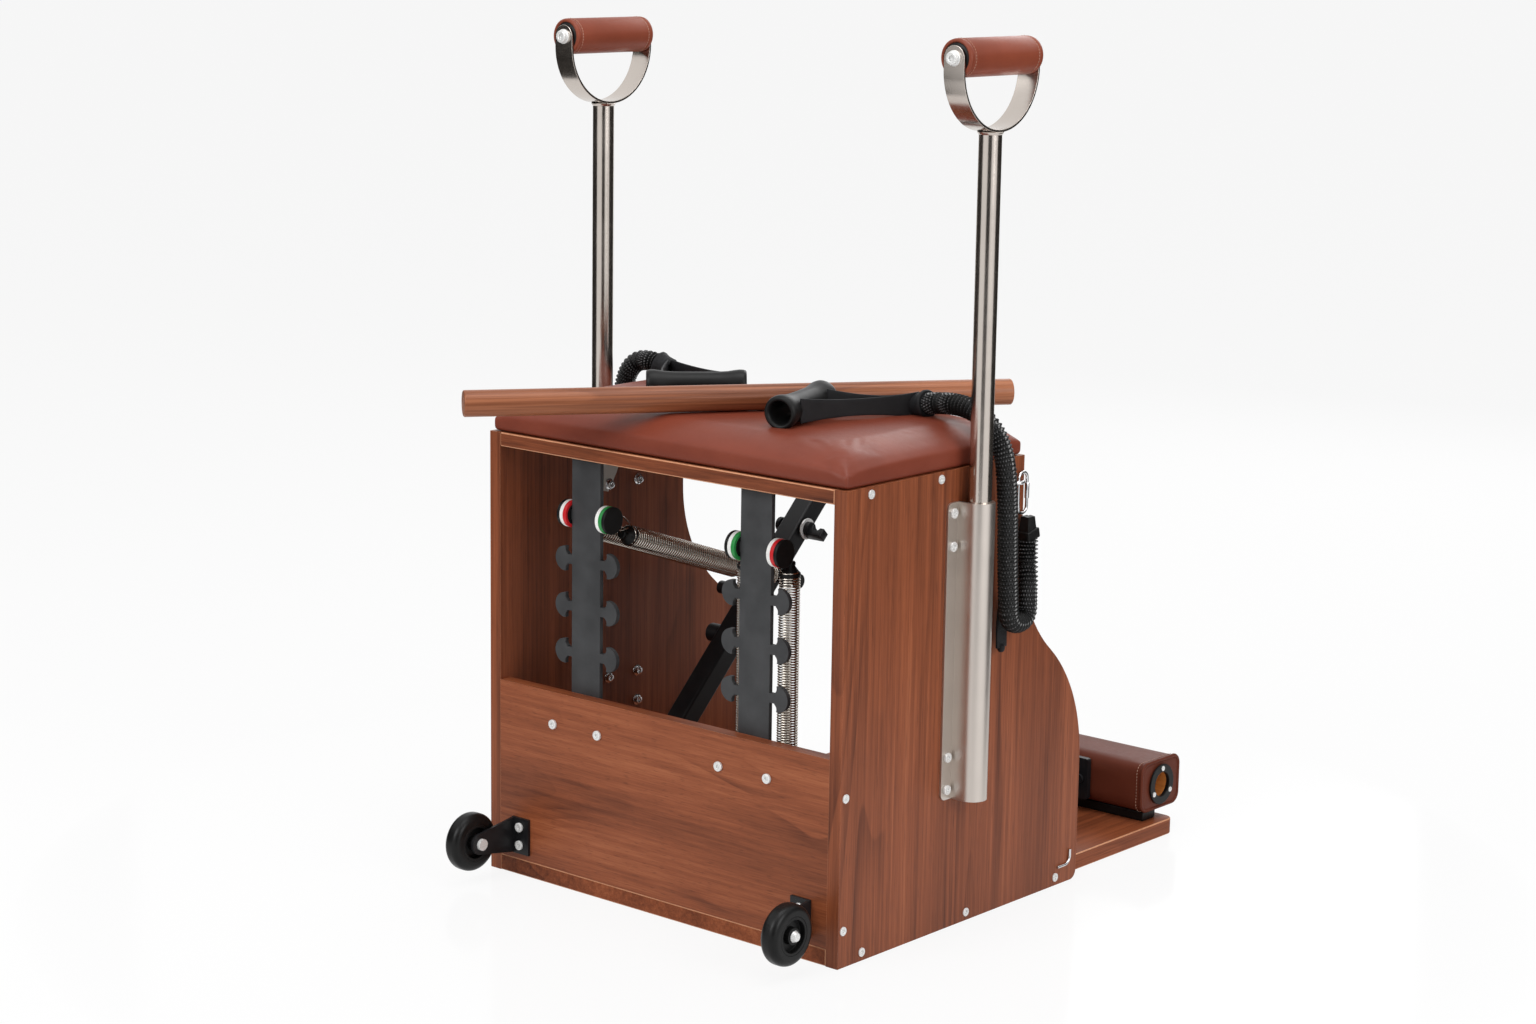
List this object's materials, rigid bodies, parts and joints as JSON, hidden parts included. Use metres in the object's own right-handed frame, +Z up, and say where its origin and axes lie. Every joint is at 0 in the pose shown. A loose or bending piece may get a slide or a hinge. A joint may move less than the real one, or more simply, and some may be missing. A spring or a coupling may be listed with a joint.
{
  "type": "pilates chair",
  "caption": "Wooden split-pedal exercise chair with a padded seat, lift-out side handles, coil springs on lugged posts, hinged pedals, tilt wheels, arm bands and a linking dowel.",
  "frame": {"origin": "on the floor, under the middle of the carcass", "axes": "+Z up, -Y towards the pedals, +Y towards the spring posts and wheels, +X towards the left side panel"},
  "size_m": [0.677, 0.9384, 1.096],
  "materials": {
    "walnut": "satin varnish over reddish walnut veneer",
    "ash_wood": "satin varnish",
    "seat_leather": "smooth upholstery leather, soft sheen",
    "grip_leather": "wrapped leather, stitched",
    "pedal_leather": "smooth upholstery leather, soft sheen",
    "brushed_steel": "warm satin",
    "bright_hardware": "polished",
    "spring_wire": "nickel-plated",
    "charcoal_metal": "satin powder coat",
    "black_metal": "satin powder coat",
    "axle_steel": "plain turned steel",
    "black_plastic": "matte",
    "green_plastic": "gloss",
    "red_plastic": "gloss",
    "white_plastic": "gloss",
    "black_rubber": "matte",
    "band_fabric": "woven sleeve",
    "strap_webbing": "woven webbing",
    "clip_metal": "polished"
  },
  "bodies": {
    "carcass": {"axle_blocks": "black_metal", "band_clips": "clip_metal", "band_eyes": "bright_hardware", "band_grips": "black_plastic", "band_left": "band_fabric", "band_right": "band_fabric", "band_strap_left": "strap_webbing", "band_strap_right": "strap_webbing", "base_board": "walnut", "carcass_screws": "bright_hardware", "lower_back_panel": "walnut", "panel_bolts": "bright_hardware", "pedal_axle": "axle_steel", "pedal_stop_strip": "black_rubber", "pole_sleeve_left": "brushed_steel", "pole_sleeve_right": "brushed_steel", "puck_bodies": "black_plastic", "puck_green_rings": "green_plastic", "puck_red_rings": "red_plastic", "puck_white_rings": "white_plastic", "seat_board": "walnut", "seat_cushion": "seat_leather", "seat_gussets": "brushed_steel", "side_panel_left": "walnut", "side_panel_right": "walnut", "sleeve_fasteners": "bright_hardware", "spring_left_inner": "spring_wire", "spring_left_outer": "spring_wire", "spring_post_left": "charcoal_metal", "spring_post_right": "charcoal_metal", "wheel_axles": "bright_hardware", "wheel_bracket_left": "black_metal", "wheel_bracket_right": "black_metal", "wire_hooks": "bright_hardware"},
    "pedal_left": {"pedal_arm_left": "black_metal", "pedal_core_left": "ash_wood", "pedal_leather_left": "pedal_leather", "pedal_end_rings_left": "black_plastic", "arm_pins_left": "black_metal", "spring_clips_left": "spring_wire"},
    "pedal_right": {"pedal_arm_right": "black_metal", "pedal_core_right": "ash_wood", "pedal_leather_right": "pedal_leather", "pedal_end_rings_right": "black_plastic", "arm_pins_right": "black_metal"},
    "hung_spring_outer": {"spring_right_outer": "spring_wire", "spring_clip_right_outer": "spring_wire"},
    "hung_spring_inner": {"spring_right_inner": "spring_wire", "spring_clip_right_inner": "spring_wire"},
    "handle_left": {"handle_frame_left": "brushed_steel", "grip_bolt_left": "bright_hardware"},
    "handle_right": {"handle_frame_right": "brushed_steel", "grip_bolt_right": "bright_hardware"},
    "grip_left": {"grip_left": "grip_leather"},
    "grip_right": {"grip_right": "grip_leather"},
    "wheel_left": {"wheel_tyre_left": "black_rubber", "wheel_hub_left": "black_plastic"},
    "wheel_right": {"wheel_tyre_right": "black_rubber", "wheel_hub_right": "black_plastic"},
    "dowel": {"dowel": "ash_wood"}
  },
  "joints": [
    {"name": "pedal_left_hinge", "type": "hinge", "parent": "carcass", "child": "pedal_left", "pos_m": [0, 0.173, 0.06], "axis": [1, 0, 0], "range_deg": [0, 45], "stiffness_Nm_per_rad": 40, "springref_deg": -57.3, "deforming": ["spring_left_outer", "spring_left_inner"]},
    {"name": "pedal_right_hinge", "type": "hinge", "parent": "carcass", "child": "pedal_right", "pos_m": [0, 0.173, 0.06], "axis": [1, 0, 0], "range_deg": [-45, 0]},
    {"name": "hung_spring_outer_swing", "type": "hinge", "parent": "carcass", "child": "hung_spring_outer", "pos_m": [-0.1743, 0.2206, 0.486], "axis": [1, 0, 0], "range_deg": [-25, 0]},
    {"name": "hung_spring_inner_swing", "type": "hinge", "parent": "carcass", "child": "hung_spring_inner", "pos_m": [-0.1077, 0.2206, 0.486], "axis": [1, 0, 0], "range_deg": [-25, 0]},
    {"name": "handle_left_lift", "type": "slide", "parent": "carcass", "child": "handle_left", "axis": [0, 0, 1], "range_m": [0, 0.25]},
    {"name": "grip_left_turn", "type": "hinge", "parent": "handle_left", "child": "grip_left", "pos_m": [0.3155, 0.016, 1.073], "axis": [0, 1, 0], "continuous": true},
    {"name": "handle_right_lift", "type": "slide", "parent": "carcass", "child": "handle_right", "axis": [0, 0, 1], "range_m": [0, 0.25]},
    {"name": "grip_right_turn", "type": "hinge", "parent": "handle_right", "child": "grip_right", "pos_m": [-0.3155, 0.016, 1.073], "axis": [0, 1, 0], "continuous": true},
    {"name": "wheel_left_spin", "type": "hinge", "parent": "carcass", "child": "wheel_left", "pos_m": [0.267, 0.308, 0.054], "axis": [1, 0, 0], "continuous": true},
    {"name": "wheel_right_spin", "type": "hinge", "parent": "carcass", "child": "wheel_right", "pos_m": [-0.267, 0.308, 0.054], "axis": [1, 0, 0], "continuous": true},
    {"name": "dowel_lift", "type": "slide", "parent": "carcass", "child": "dowel", "axis": [0, 0, 1], "range_m": [0, 0.3]}
  ]
}
